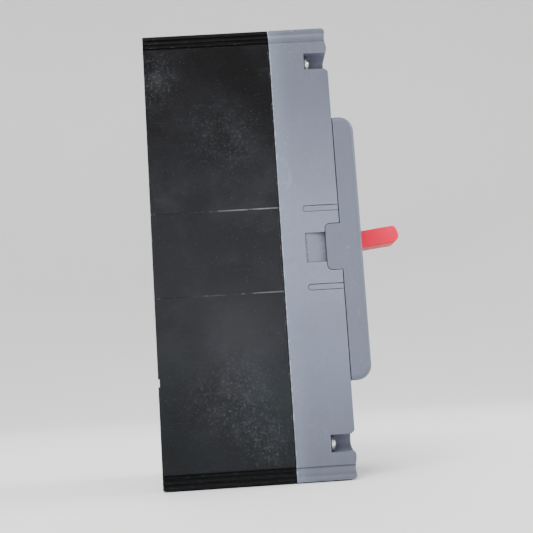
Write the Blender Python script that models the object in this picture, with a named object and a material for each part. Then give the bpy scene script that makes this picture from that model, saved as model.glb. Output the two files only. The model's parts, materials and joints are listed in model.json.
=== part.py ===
"""Molded case circuit breaker: three poles, toggle handle, thermal-magnetic trip unit.

Units in the tables and calls below are millimetres and degrees; MM turns them into metres.
World axes: +Z is the line (supply) end, -Y is the front that the handle stands on.
"depth" is the distance in front of the flat mounting back, so depth = -y.
An outline "along x" lists (z, depth) points, "along depth" (x, z) and "along z" (x, depth).
"""
import math

import bmesh
import bpy
from mathutils import Matrix

MM = 0.001

# ---------------------------------------------------------------- driving dimensions
HALF_HEIGHT = 120.5
HALF_WIDTH = 57.15
POLE_PITCH = 36.5
POLES = {"a": -POLE_PITCH, "b": 0.0, "c": POLE_PITCH}
ENDS = {"line": 1, "load": -1}
SIDES = (-1, 1)
GAP = 0.3                        # left between pieces that touch

BASE_FRONT = 68.0
COVER_BACK = BASE_FRONT + GAP
COVER_FRONT = 99.5
RAISED_BACK = COVER_FRONT + GAP
RAISED_FRONT = 111.0
RAISED_HALF_HEIGHT = 70.7
RAISED_CORNER = 8.0

SIDE_WALL = 3.0
BASE_END_WALL = 4.0
COVER_END_WALL = 3.5
FRONT_WALL = 3.5
CHAMBER_FLOOR = 8.7
MECHANISM_FLOOR = 4.0
INTERPHASE = (18.0, 20.6)        # |x| of the two walls between the poles
INTERPHASE_MIDDLE = 19.3
TERMINAL_WALL = (94.0, 97.0)     # |z| of the wall between a pole and its terminal

MOUNT_SCREW = (INTERPHASE_MIDDLE, 103.0)    # |x|, |z|
COVER_SCREW = (51.5, 102.1)
LUG_SCREW_Z = 107.5
SCREW_SEAT = 86.8

TRIP_BUTTON = (24.0, -55.0)      # x, z
DIAL = (-24.0, -55.0)

STRAP = (9.0, 12.0)              # depth of the main current straps
STRAP_HALF_WIDTH = 8.0

# joint axes that run along x, as (z, depth)
HANDLE_PIVOT = (1.5, 40.0)
CROSSBAR_PIVOT = (-10.0, 28.0)
CRADLE_PIVOT = (26.0, 72.0)
CRADLE_DRIVE = (4.0, 68.0)       # the pin that the upper link pushes on
TOGGLE_LENGTH = 20.0             # both links
TRIP_BAR_PIVOT = (-45.0, 66.0)
LATCH_PIVOT = (-34.0, 60.0)
ARMATURE_PIVOT = (-44.4, 46.0)

HANDLE_REST = 6.8                # tilt of the handle towards the line end
ARM_REST = 8.625                 # opening of the contact arms at that handle position
DRIVE_RADIUS = 11.5              # crossbar axis to the lower link's pivot
DRIVE_ANGLE = 28.0 + ARM_REST
SHIELD_RADII = (62.5, 64.5)


# ---------------------------------------------------------------- plane geometry
def polar(centre, radius, degrees):
    angle = math.radians(degrees)
    return (centre[0] + radius * math.cos(angle), centre[1] + radius * math.sin(angle))


def arc(centre, radius, start, end, steps):
    """Points on an arc from start to end degrees, both included."""
    return [polar(centre, radius, start + (end - start) * i / steps) for i in range(steps + 1)]


def circle(centre, radius, sides=16):
    return [polar(centre, radius, 360.0 * i / sides) for i in range(sides)]


def rounded(low, high, radius, steps=3):
    """Rectangle from corner low to corner high with round corners."""
    corners = (
        ((high[0] - radius, high[1] - radius), 0),
        ((low[0] + radius, high[1] - radius), 90),
        ((low[0] + radius, low[1] + radius), 180),
        ((high[0] - radius, low[1] + radius), 270),
    )
    return [p for centre, start in corners for p in arc(centre, radius, start, start + 90, steps)]


def bar(first, second, first_radius, second_radius=None, steps=6):
    """A link's outline: two round ends and straight flanks."""
    second_radius = second_radius or first_radius
    heading = math.degrees(math.atan2(second[1] - first[1], second[0] - first[0]))
    return (arc(second, second_radius, heading - 90, heading + 90, steps)
            + arc(first, first_radius, heading + 90, heading + 270, steps))


def turned(points, centre, degrees):
    """The points turned about centre, from the first axis towards the second."""
    cosine, sine = math.cos(math.radians(degrees)), math.sin(math.radians(degrees))
    shifted = [(u - centre[0], v - centre[1]) for u, v in points]
    return [(centre[0] + u * cosine - v * sine, centre[1] + u * sine + v * cosine) for u, v in shifted]


def on_handle(across, radius):
    """(z, depth) of a point given across and along the handle as it stands at rest."""
    return turned([(HANDLE_PIVOT[0] + across, HANDLE_PIVOT[1] + radius)], HANDLE_PIVOT, -HANDLE_REST)[0]


def towards(sign, low, high):
    """The range low..high, or its mirror image when sign is negative."""
    return (low, high) if sign > 0 else (-high, -low)


# ---------------------------------------------------------------- solids
def place(along, u, v, w):
    """Outline point (u, v) at w along the extrusion, as metres in the world."""
    spots = {"x": (w, -v, u), "depth": (u, -w, v), "z": (u, -v, w)}
    return [value * MM for value in spots[along]]


def solid_from(name, mesh_builder):
    mesh_builder.normal_update()
    bmesh.ops.recalc_face_normals(mesh_builder, faces=mesh_builder.faces)
    mesh = bpy.data.meshes.new(name)
    mesh_builder.to_mesh(mesh)
    mesh_builder.free()
    solid = bpy.data.objects.new(name, mesh)
    bpy.context.scene.collection.objects.link(solid)
    return solid


def prism(name, outline, low, high, along):
    """A straight extrusion of an outline."""
    builder = bmesh.new()
    near = [builder.verts.new(place(along, u, v, low)) for u, v in outline]
    far = [builder.verts.new(place(along, u, v, high)) for u, v in outline]
    builder.faces.new(near)
    builder.faces.new(far)
    for i in range(len(outline)):
        j = (i + 1) % len(outline)
        builder.faces.new((near[i], near[j], far[j], far[i]))
    return solid_from(name, builder)


def box(name, x, depth, z):
    corners = [(x[0], z[0]), (x[1], z[0]), (x[1], z[1]), (x[0], z[1])]
    return prism(name, corners, depth[0], depth[1], "depth")


def rod(name, centre, radius, low, high, along, sides=16):
    return prism(name, circle(centre, radius, sides), low, high, along)


def turned_pin(name, centre, profile, sides=16):
    """A round piece along the depth axis at centre (x, z); profile lists (radius, depth)."""
    builder = bmesh.new()
    rings = [[builder.verts.new(place("depth", u, v, depth)) for u, v in circle(centre, radius, sides)]
             for radius, depth in profile]
    builder.faces.new(rings[0])
    builder.faces.new(rings[-1])
    for lower, upper in zip(rings, rings[1:]):
        for i in range(sides):
            j = (i + 1) % sides
            builder.faces.new((lower[i], lower[j], upper[j], upper[i]))
    return solid_from(name, builder)


def coil(name, x, start, end, radius, wire, turns):
    """A tension spring between two (z, depth) points, drawn in to a straight hook at each end."""
    length = math.dist(start, end)
    along = ((end[0] - start[0]) / length, (end[1] - start[1]) / length)
    steps_per_turn = 7
    wire_sides = 3
    steps = turns * steps_per_turn
    builder = bmesh.new()
    rings = []
    for i in range(steps + 1):
        share = i / steps
        reach = radius * min(1.0, share * turns, (1 - share) * turns)
        angle = 2 * math.pi * i / steps_per_turn
        ring = []
        for k in range(wire_sides):
            turn = 2 * math.pi * k / wire_sides
            out = reach + wire * math.cos(turn)
            run = length * share + wire * math.sin(turn)
            side = out * math.cos(angle)
            ring.append(builder.verts.new(place(
                "x",
                start[0] + along[0] * run - along[1] * side,
                start[1] + along[1] * run + along[0] * side,
                x + out * math.sin(angle))))
        rings.append(ring)
    builder.faces.new(rings[0])
    builder.faces.new(rings[-1])
    for lower, upper in zip(rings, rings[1:]):
        for k in range(wire_sides):
            j = (k + 1) % wire_sides
            builder.faces.new((lower[k], lower[j], upper[j], upper[k]))
    return solid_from(name, builder)


def ribbon(points, thickness):
    """Outline of a flexible strip that follows the points."""
    half = thickness / 2
    edges = ([], [])
    for i, (u, v) in enumerate(points):
        before, after = points[max(i - 1, 0)], points[min(i + 1, len(points) - 1)]
        run = math.dist(before, after)
        normal = ((before[1] - after[1]) / run, (after[0] - before[0]) / run)
        edges[0].append((u + normal[0] * half, v + normal[1] * half))
        edges[1].append((u - normal[0] * half, v - normal[1] * half))
    return edges[0] + edges[1][::-1]


def settle(solid):
    """Replace a solid's mesh by the one its modifiers give, with flat areas in one piece."""
    state = solid.evaluated_get(bpy.context.evaluated_depsgraph_get())
    mesh = bpy.data.meshes.new_from_object(state)
    solid.modifiers.clear()
    builder = bmesh.new()
    builder.from_mesh(mesh)
    bmesh.ops.dissolve_limit(builder, angle_limit=math.radians(0.2), verts=builder.verts,
                             edges=builder.edges)
    builder.to_mesh(mesh)
    builder.free()
    solid.data = mesh
    mesh.name = solid.name
    return solid


def shaped(solid, join=(), cut=()):
    """Join the solid with some solids, then cut others out of it; the tools are used up."""
    for operation, tools in (("UNION", join), ("DIFFERENCE", cut)):
        for tool in tools:
            step = solid.modifiers.new(tool.name, "BOOLEAN")
            step.operation = operation
            step.solver = "EXACT"
            step.object = tool
    settle(solid)
    for tool in [*join, *cut]:
        bpy.data.objects.remove(tool)
    return solid


def softened(solid, width, segments=2):
    """Round every sharp edge of a solid."""
    step = solid.modifiers.new("round", "BEVEL")
    step.width = width * MM
    step.segments = segments
    step.limit_method = "ANGLE"
    return settle(solid)


# ---------------------------------------------------------------- materials and pivots
def material(name, colour, roughness, metallic=0.0):
    made = bpy.data.materials.new(name)
    made.use_nodes = True
    shader = made.node_tree.nodes["Principled BSDF"]
    shader.inputs["Base Color"].default_value = (*colour, 1.0)
    shader.inputs["Roughness"].default_value = roughness
    shader.inputs["Metallic"].default_value = metallic
    return made


def make_materials():
    return {
        "black_thermoset": material("black_thermoset", (0.045, 0.047, 0.052), 0.6),
        "grey_plastic": material("grey_plastic", (0.33, 0.36, 0.42), 0.5),
        "red_plastic": material("red_plastic", (0.85, 0.11, 0.15), 0.45),
        "black_plastic": material("black_plastic", (0.02, 0.02, 0.022), 0.45),
        "dark_molding": material("dark_molding", (0.06, 0.035, 0.025), 0.55),
        "pale_fibre": material("pale_fibre", (0.55, 0.5, 0.4), 0.8),
        "zinc_steel": material("zinc_steel", (0.6, 0.6, 0.58), 0.35, 1.0),
        "copper": material("copper", (0.72, 0.4, 0.27), 0.35, 1.0),
        "aluminium": material("aluminium", (0.75, 0.75, 0.76), 0.4, 1.0),
        "orange_plastic": material("orange_plastic", (0.8, 0.25, 0.04), 0.45),
    }


def finish(solid, made):
    """Give a piece its material and smooth its round faces."""
    solid.data.materials.clear()
    solid.data.materials.append(made)
    solid.data.shade_smooth()
    solid.data.set_sharp_from_angle(angle=math.radians(30))
    return solid


def pivot(name, x, spot, parent=None):
    """An empty on a joint's axis; spot is (z, depth)."""
    empty = bpy.data.objects.new(name, None)
    empty.empty_display_size = 0.01
    bpy.context.scene.collection.objects.link(empty)
    empty["place"] = place("x", spot[0], spot[1], x)
    empty.location = empty["place"]
    if parent:
        hang(empty, parent)
    return empty


def hang(child, parent):
    """Parent child to a pivot and leave it where it stands."""
    child.parent = parent
    child.matrix_parent_inverse = Matrix.Translation(parent["place"]).inverted()


# ---------------------------------------------------------------- molded housings
def make_base(made):
    """The deep molded tray that holds every current-carrying piece."""
    inner = HALF_WIDTH - SIDE_WALL
    base = box("base", (-HALF_WIDTH, HALF_WIDTH), (0, BASE_FRONT), (-HALF_HEIGHT, HALF_HEIGHT))
    above = BASE_FRONT + 5
    chambers = [(-INTERPHASE[0], INTERPHASE[0]), (INTERPHASE[1], inner), (-inner, -INTERPHASE[1])]
    cut = []
    for x in chambers:
        cut.append(box("pole_chamber", x, (CHAMBER_FLOOR, above), (-TERMINAL_WALL[0], TERMINAL_WALL[0])))
        cut.append(box("pole_floor", x, (MECHANISM_FLOOR, CHAMBER_FLOOR + 1), (-36, 38)))
        for end in SIDES:
            z = towards(end, TERMINAL_WALL[1], HALF_HEIGHT - BASE_END_WALL)
            cut.append(box("terminal_chamber", x, (CHAMBER_FLOOR, above), z))
    for x in POLES.values():
        for end in SIDES:
            slot = towards(end, TERMINAL_WALL[0] - 1, TERMINAL_WALL[1] + 1)
            cut.append(box("strap_slot", (x - 8.6, x + 8.6), (CHAMBER_FLOOR, 12.6), slot))
            door = towards(end, HALF_HEIGHT - BASE_END_WALL - 1, HALF_HEIGHT + 1)
            cut.append(box("wire_door", (x - 9.5, x + 9.5), (CHAMBER_FLOOR, 38), door))
    for side in SIDES:
        across = towards(side, INTERPHASE[0] - 0.5, INTERPHASE[1] + 0.5)
        cut.append(box("crossbar_notch", across, (17, above), (-21, 1.5)))
        cut.append(box("trip_notch", across, (20, above), (-90, -36)))
    shaped(base, cut=cut)

    posts, bores = [], []
    for side in SIDES:
        for end in SIDES:
            spot = (side * MOUNT_SCREW[0], end * MOUNT_SCREW[1])
            posts.append(rod("mount_post", spot, 5, 5, BASE_FRONT, "depth"))
            bores.append(rod("mount_bore", spot, 2.75, -1, above, "depth"))
            posts.append(box("corner_post", towards(side, 46.8, inner + 1), (5, BASE_FRONT),
                             towards(end, 97, 107.3)))
            spot = (side * COVER_SCREW[0], end * COVER_SCREW[1])
            bores.append(rod("thread_bore", spot, 2.3, 44, above, "depth", 12))
            across = (side * INTERPHASE_MIDDLE - 1, side * INTERPHASE_MIDDLE + 1)
            bores.append(box("barrier_groove", across, (-1, above),
                             towards(end, HALF_HEIGHT - 3, HALF_HEIGHT + 1)))
            for low, high in ((112.6, 114.0), (116.4, 117.8)):
                bores.append(box("side_groove", towards(side, HALF_WIDTH - 0.8, HALF_WIDTH + 1),
                                 (-1, above), towards(end, low, high)))
    bores.append(box("back_groove", (-HALF_WIDTH - 1, HALF_WIDTH + 1), (-1, 0.8), (-67.9, -63.9)))
    return finish(shaped(base, posts, bores), made["black_thermoset"])


def make_main_cover(made):
    """The grey cover over the poles, with its ribs, screw pockets and handle window."""
    inner = HALF_WIDTH - SIDE_WALL
    cover = prism("main_cover", rounded((-HALF_HEIGHT, COVER_BACK - 10), (HALF_HEIGHT, COVER_FRONT), 2),
                  -HALF_WIDTH, HALF_WIDTH, "x")
    hollow_end = HALF_HEIGHT - COVER_END_WALL
    shaped(cover, cut=[
        box("below", (-60, 60), (COVER_BACK - 20, COVER_BACK), (-130, 130)),
        box("hollow", (-inner, inner), (COVER_BACK - 1, COVER_FRONT - FRONT_WALL), (-hollow_end, hollow_end)),
    ])
    above, below = COVER_FRONT + 1, COVER_BACK - 1
    join, cut = [], [box("window", (-19, 19), (90, above), (-40, 40))]
    for side in SIDES:
        rib = towards(side, *INTERPHASE)
        join.append(box("rib", rib, (COVER_BACK, 97), (42, hollow_end + 1)))
        join.append(box("rib", rib, (COVER_BACK, 97), (-hollow_end - 1, -92)))
        join.append(box("tab_pad", towards(side, 51.5, inner + 1), (85, 97), (-16, 16)))
        cut.append(box("tab_pocket", towards(side, HALF_WIDTH - 2.3, 60), (91.5, above), (-12.5, 12.5)))
        edge = side * HALF_WIDTH
        wedge = [(edge, 80.8), (edge + side, 80.8), (edge + side, 92), (edge - side * 2, 92),
                 (edge - side * 2, 91.5)]
        cut.append(prism("pry_recess", wedge, -8, 8, "z"))
        for end in SIDES:
            spot = (side * MOUNT_SCREW[0], end * MOUNT_SCREW[1])
            join.append(rod("mount_boss", spot, 7, COVER_BACK, 97, "depth", 16))
            cut.append(rod("mount_bore", spot, 2.75, below, above, "depth"))
            cut.append(rod("mount_seat", spot, 5.25, 85, above, "depth", 16))
            join.append(box("corner_block", towards(side, 45.5, inner + 1), (COVER_BACK, 97),
                            towards(end, 95, 109)))
            spot = (side * COVER_SCREW[0], end * COVER_SCREW[1])
            cut.append(rod("screw_pocket", spot, 4.5, SCREW_SEAT, above, "depth", 16))
            cut.append(box("pocket_mouth", towards(side, COVER_SCREW[0], 60), (SCREW_SEAT, above),
                           (spot[1] - 4.5, spot[1] + 4.5)))
            cut.append(rod("screw_bore", spot, 2.3, below, SCREW_SEAT + 1, "depth", 12))
            groove = arc((end * 21, 82.25), 1.75, 180, 360, 4) + [(end * 21 + 1.75, above),
                                                                   (end * 21 - 1.75, above)]
            low, high = towards(side, HALF_WIDTH - 0.7, HALF_WIDTH + 1)
            cut.append(prism("finger_groove", groove, low, high, "x"))
    for x in POLES.values():
        for end in SIDES:
            cut.append(rod("lug_access", (x, end * LUG_SCREW_Z), 4.75, 90, above, "depth"))
        for vent in (-7, 0, 7):
            cut.append(box("vent", (x + vent - 1.5, x + vent + 1.5), (72, 88),
                           (hollow_end - 1, HALF_HEIGHT + 1)))
    cut.append(rod("button_hole", TRIP_BUTTON, 3.5, 90, above, "depth"))
    cut.append(rod("dial_hole", DIAL, 3.4, 90, above, "depth"))
    return finish(shaped(cover, join, cut), made["grey_plastic"])


def make_accessory_cover(made):
    """The raised snap-on cover round the handle, with its side tabs and handle well."""
    half = RAISED_HALF_HEIGHT
    cover = prism("accessory_cover",
                  rounded((-half, RAISED_BACK - 20), (half, RAISED_FRONT), RAISED_CORNER, 5),
                  -HALF_WIDTH, HALF_WIDTH, "x")
    hollow = prism("hollow", rounded((-half + 2.5, RAISED_BACK - 20), (half - 2.5, RAISED_FRONT - 2.5), 5.5),
                   -HALF_WIDTH + 2.5, HALF_WIDTH - 2.5, "x")
    shaped(cover, cut=[box("below", (-60, 60), (RAISED_BACK - 30, RAISED_BACK), (-90, 90)), hollow])

    middle = HANDLE_PIVOT[0]
    join = [box("handle_well", (-10.8, 10.8), (90, RAISED_FRONT - 1), (middle - 28.5, middle + 28.5)),
            rod("button_tube", TRIP_BUTTON, 5.2, 101.5, RAISED_FRONT - 1, "depth")]
    cut = [rod("shield_sweep", HANDLE_PIVOT, SHIELD_RADII[1] + 0.8, -12, 12, "x", 72),
           box("handle_slot", (-9.2, 9.2), (80, RAISED_FRONT + 1), (middle - 26.9, middle + 26.9)),
           rod("button_hole", TRIP_BUTTON, 3.4, 90, RAISED_FRONT + 1, "depth"),
           rod("dial_hole", DIAL, 5.9, 90, RAISED_FRONT + 1, "depth")]
    for side in SIDES:
        join.append(box("tab", towards(side, HALF_WIDTH - 2, HALF_WIDTH), (91.8, 100.5), (-12.2, 12.2)))
    return finish(shaped(cover, join, cut), made["grey_plastic"])


# ---------------------------------------------------------------- handle
def make_handle(made):
    """The grip that sticks out of the cover, with the wide foot that the yoke carries."""
    def outline(points):
        return [on_handle(across, radius) for across, radius in points]

    tip = ([(4.6, 68), (4.3, 92.5)] + arc((0.9, 95.6), 3.4, 0, 75, 3)
           + arc((-1.7, 94.6), 2.5, 110, 180, 3) + [(-5.2, 70), (-5.2, 64), (4.6, 64)])
    grip = softened(prism("handle", outline(tip), -8, 8, "x"), 1.6)
    neck = prism("neck", outline([(-5.2, 60), (4.8, 60), (4.8, 69), (-5.2, 69)]), -7.8, 7.8, "x")
    foot = prism("foot", outline([(-8, 56.3), (8, 56.3), (8, 61.2), (-8, 61.2)]), -11, 11, "x")
    return finish(shaped(grip, [neck, foot]), made["red_plastic"])


def make_handle_shield(made):
    """The curved apron that closes the slot at every handle position."""
    inner, outer = SHIELD_RADII
    half_angle = 41
    middle = 90 - HANDLE_REST
    outline = (arc(HANDLE_PIVOT, outer, middle - half_angle, middle + half_angle, 18)
               + arc(HANDLE_PIVOT, inner, middle + half_angle, middle - half_angle, 18))
    window = prism("window", [on_handle(u, v) for u, v in ((-5.8, 55), (5.8, 55), (5.8, 70), (-5.8, 70))],
                   -8.4, 8.4, "x")
    return finish(shaped(prism("handle_shield", outline, -12.6, 12.6, "x"), cut=[window]),
                  made["black_plastic"])


def make_handle_yoke(made):
    """The steel yoke that carries the handle round the sides of the mechanism."""
    web = prism("handle_yoke", [on_handle(u, v) for u, v in ((-4.5, 54), (4.5, 54), (4.5, 56), (-4.5, 56))],
                -17.4, 17.4, "x")
    tip = on_handle(0, 53)
    legs, holes = [], []
    for side in SIDES:
        low, high = towards(side, 15.9, 17.4)
        legs.append(prism("leg", bar(HANDLE_PIVOT, tip, 4.5), low, high, "x"))
        holes.append(rod("pivot_hole", HANDLE_PIVOT, 2.9, *towards(side, 15, 18.5), "x"))
    above = prism("above", [on_handle(u, v) for u, v in ((-9, 56), (9, 56), (9, 64), (-9, 64))],
                  -18.4, 18.4, "x")
    return finish(shaped(web, legs, [*holes, above]), made["zinc_steel"])


# ---------------------------------------------------------------- mechanism
def make_mechanism_frame(made):
    """Two side plates on a back web; they carry the handle, cradle and latch pivots."""
    outline = [(20, 4.3), (34, 4.3), (34, 78), (24, 80), (-16, 80), (-30, 74), (-37.2, 65), (-37.2, 55),
               (-30, 46), (-8, 44), (-3, 39.5), (3, 33), (8, 26), (20, 20)]
    frame = prism("mechanism_frame", [(22, 4.3), (32, 4.3), (32, 5.8), (22, 5.8)], -15.5, 15.5, "x")
    join, cut = [], []
    for side in SIDES:
        join.append(prism("plate", outline, *towards(side, 14, 15.5), "x"))
        join.append(rod("handle_boss", HANDLE_PIVOT, 2.6, *towards(side, 15, 17.2), "x", 14))
        cut.append(rod("cradle_hole", CRADLE_PIVOT, 2.3, *towards(side, 13, 16.5), "x"))
        cut.append(rod("latch_hole", LATCH_PIVOT, 1.5, *towards(side, 13, 16.5), "x", 12))
    return finish(shaped(frame, join, cut), made["zinc_steel"])


def make_cradle_pin(made):
    return finish(rod("cradle_pin", CRADLE_PIVOT, 2, -15.7, 15.7, "x", 14), made["zinc_steel"])


def make_cradle(made):
    """The latched lever that the toggle links push against."""
    lever = [(26, 77), (-10, 74), (-28, 69.2), (-29.8, 67.6), (-29.8, 65.2), (-20, 64.2), (4, 63), (26, 67)]
    cradle = prism("cradle", lever, -1, 1, "x")
    return finish(shaped(cradle,
                         [rod("boss", CRADLE_PIVOT, 5, -1, 1, "x"),
                          rod("drive_pin", CRADLE_DRIVE, 1.5, -3, 3, "x", 12)],
                         [rod("hole", CRADLE_PIVOT, 2.3, -2, 2, "x")]), made["zinc_steel"])


def drive_pivot():
    return polar(CROSSBAR_PIVOT, DRIVE_RADIUS, DRIVE_ANGLE)


def toggle_pivot():
    """The knee of the two equal links, on the load side of the line between their ends."""
    low, high = drive_pivot(), CRADLE_DRIVE
    half = math.dist(low, high) / 2
    rise = math.sqrt(TOGGLE_LENGTH ** 2 - half ** 2)
    heading = math.atan2(high[1] - low[1], high[0] - low[0])
    middle = ((low[0] + high[0]) / 2, (low[1] + high[1]) / 2)
    return (middle[0] - rise * math.sin(heading), middle[1] + rise * math.cos(heading))


def make_upper_link(made):
    """Two plates on a bush; their open saddles sit round the cradle's drive pin."""
    knee = toggle_pivot()
    link = rod("upper_link", knee, 3.2, -2.9, 2.9, "x")
    plates = [prism("plate", bar(knee, CRADLE_DRIVE, 3.2, 4), *towards(side, 1.3, 2.9), "x")
              for side in SIDES]
    z, depth = CRADLE_DRIVE
    return finish(shaped(link, plates, [
        rod("pin_hole", knee, 1.9, -4, 4, "x"),
        rod("saddle", CRADLE_DRIVE, 1.9, -4, 4, "x"),
        box("saddle_mouth", (-4, 4), (depth, depth + 8), (z - 8, z + 8)),
    ]), made["zinc_steel"])


def make_lower_link(made):
    """Two plates on the toggle pin, which also anchors the springs."""
    knee, drive = toggle_pivot(), drive_pivot()
    pin = rod("lower_link", knee, 1.5, -12, 12, "x", 14)
    plates = [prism("plate", bar(drive, knee, 3.2), *towards(side, 3.3, 4.9), "x") for side in SIDES]
    holes = [rod("drive_hole", drive, 1.9, *towards(side, 3, 5.2), "x") for side in SIDES]
    return finish(shaped(pin, plates, holes), made["zinc_steel"])


def make_toggle_springs(made):
    """Two tension springs from the toggle pin to the yoke."""
    knee = toggle_pivot()
    top = on_handle(0, 53.2)
    reach = math.dist(knee, top)
    share = 2.4 / reach
    start = (knee[0] + (top[0] - knee[0]) * share, knee[1] + (top[1] - knee[1]) * share)
    return [finish(coil("toggle_spring_" + name, x, start, top, 2.1, 0.45, 8), made["zinc_steel"])
            for name, x in (("left", -9), ("right", 9))]


def make_crossbar(made):
    """The molded bar that carries all three contact arms and takes the toggle's push."""
    axis = CROSSBAR_PIVOT
    crossbar = prism("crossbar", rounded((axis[0] - 8, axis[1] - 8), (axis[0] + 8, axis[1] + 8), 3.5),
                     -50, 50, "x")
    drive = drive_pivot()
    slots = [box("arm_slot", (x - 3.2, x + 3.2), (10, 50), (-15.5, 10)) for x in POLES.values()]
    reliefs = [box("link_relief", towards(side, 3, 5.3), (31.2, 50), (-9, 10)) for side in SIDES]
    shaped(crossbar, cut=[*slots, *reliefs, rod("pin_bore", axis, 1.8, -51, 51, "x")])
    join = []
    for side in SIDES:
        ear = bar((axis[0] + 1, axis[1] + 3.5), drive, 3.2)
        join.append(prism("ear", ear, *towards(side, 5.3, 7.3), "x"))
        join.append(rod("drive_stub", drive, 1.5, *towards(side, 3.1, 6), "x", 12))
    clear = rod("bore_again", axis, 1.8, -51, 51, "x")
    return finish(shaped(crossbar, join, [clear]), made["dark_molding"])


def make_arm_pivot_pin(made):
    return finish(rod("arm_pivot_pin", CROSSBAR_PIVOT, 1.5, -48, 48, "x", 12), made["zinc_steel"])


def make_contact_arm(pole, x, made):
    """A moving contact arm with its brazed tip, drawn closed and then opened to its rest."""
    axis = CROSSBAR_PIVOT
    lever = [(axis[0], 33), (48, 29.5), (56, 27.5), (56.5, 23), (54, 22), (45, 22), (axis[0], 23)]
    tip = [(46, 20), (54, 20), (54, 23), (46, 23)]
    arm = prism("contact_arm_" + pole, turned(lever, axis, ARM_REST), x - 2.8, x + 2.8, "x")
    return finish(shaped(arm,
                         [rod("hub", axis, 5, x - 2.8, x + 2.8, "x"),
                          prism("tip", turned(tip, axis, ARM_REST), x - 2.5, x + 2.5, "x")],
                         [rod("hole", axis, 1.8, x - 4, x + 4, "x", 12)]), made["copper"])


# ---------------------------------------------------------------- current path
def make_line_terminal(pole, x, made):
    """A strap that doubles back under the contact arm, with the fixed contact on top."""
    bend = (43, 13.5)
    outline = ([(115.5, STRAP[0]), (115.5, STRAP[1])] + arc(bend, 1.5, 270, 90, 6)
               + [(58, 15), (58, 18), (54, 18), (54, 19.7), (46, 19.7), (46, 18)]
               + arc(bend, 4.5, 90, 270, 10))
    return finish(prism("line_terminal_" + pole, outline, x - STRAP_HALF_WIDTH, x + STRAP_HALF_WIDTH, "x"),
                  made["copper"])


def make_load_terminal(pole, x, made):
    return finish(box("load_terminal_" + pole, (x - STRAP_HALF_WIDTH, x + STRAP_HALF_WIDTH), STRAP,
                      (-115.5, -40)), made["copper"])


def make_braid(pole, x, made):
    """The flexible braid from the load strap to the root of the contact arm."""
    route = [(5.2, 24.4), (4.4, 21), (2.4, 17.4), (-1.5, 14.2), (-8, 12), (-16, 11.3), (-26, 11.2),
             (-34, 10.7), (-39.6, 10.5)]
    return finish(prism("braid_" + pole, ribbon(route, 2), x - 3.5, x + 3.5, "x"), made["copper"])


def make_arc_chute(pole, x, made):
    """A stack of notched steel plates between two fibre cheeks."""
    cheeks = [box("cheek", (x + low, x + high), (16, 62), (62, 92)) for low, high in ((-14, -12.5), (12.5, 14))]
    notch = [(x - 5, 62.5), (x, 76), (x + 5, 62.5)]
    outline = [(x - 13, 62.5), *notch, (x + 13, 62.5), (x + 13, 91.5), (x - 13, 91.5)]
    plates = [prism("plate", outline, 18 + 6 * i, 19.5 + 6 * i, "depth") for i in range(8)]
    cheeks[0].name = "arc_chute_" + pole
    return finish(shaped(cheeks[0], plates + [cheeks[1]]), made["pale_fibre"])


def make_lug(end, pole, x, made):
    """A mechanical lug: an aluminium block with a wire way and a threaded screw hole."""
    sign = ENDS[end]
    lug = box(end + "_lug_" + pole, (x - 8.5, x + 8.5), (STRAP[1] + GAP, 36), towards(sign, 100.5, 115.5))
    wire = rod("wire_way", (x, 22.5), 6.5, *towards(sign, 99, 117), "z")
    thread = rod("thread", (x, sign * LUG_SCREW_Z), 4.3, 22, 37, "depth")
    return finish(shaped(lug, cut=[wire, thread]), made["aluminium"])


def make_lug_screw(end, pole, x, made):
    spot = (x, ENDS[end] * LUG_SCREW_Z)
    screw = turned_pin(end + "_lug_screw_" + pole, spot, [(3.2, 28.7), (4, 29.6), (4, 40.4), (3.4, 41)])
    socket = rod("socket", spot, 2.6, 37, 42, "depth", 6)
    return finish(shaped(screw, cut=[socket]), made["zinc_steel"])


def make_cover_screw(number, spot, made):
    """A pan-head screw with a cross recess."""
    seat = SCREW_SEAT + GAP
    screw = turned_pin(f"cover_screw_{number}", spot,
                       [(1.5, 45), (2, 46), (2, seat), (3.9, seat), (3.9, seat + 1.6), (3.1, seat + 2.5),
                        (1.6, seat + 2.8)])
    x, z = spot
    cross = [box("slot", (x - 2, x + 2), (seat + 1.2, seat + 4), (z - 0.5, z + 0.5)),
             box("slot", (x - 0.5, x + 0.5), (seat + 1.2, seat + 4), (z - 2, z + 2))]
    return finish(shaped(screw, cut=cross), made["zinc_steel"])


# ---------------------------------------------------------------- trip unit
def make_trip_unit_case(made):
    """The molded case of the trip unit, open at the back."""
    case = box("trip_unit_case", (-53, 53), (20.5, 73), (-88, -38))
    walls = (INTERPHASE[0] + GAP, INTERPHASE[1] - GAP)
    cut = [box("room", x, (19, 71), (-86, -39.5))
           for x in ((-walls[0], walls[0]), (walls[1], 51), (-51, -walls[1]))]
    cut.append(box("over_walls", (-51, 51), (58, 71), (-86, -39.5)))
    cut.append(box("latch_way", (-6, 6), (58, 74), (-41, -37)))
    cut.append(rod("button_hole", TRIP_BUTTON, 2, 70, 74, "depth"))
    for side in SIDES:
        cut.append(rod("journal", TRIP_BAR_PIVOT, 1.8, *towards(side, 50.5, 54), "x", 12))
    return finish(shaped(case, cut=cut), made["black_plastic"])


def make_bimetal(pole, x, made):
    outline = [(-62, 12.3), (-50, 12.3), (-50, 64), (-51.5, 64), (-51.5, 13.8), (-62, 13.8)]
    return finish(prism("bimetal_" + pole, outline, x - 4, x + 4, "x"), made["zinc_steel"])


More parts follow.
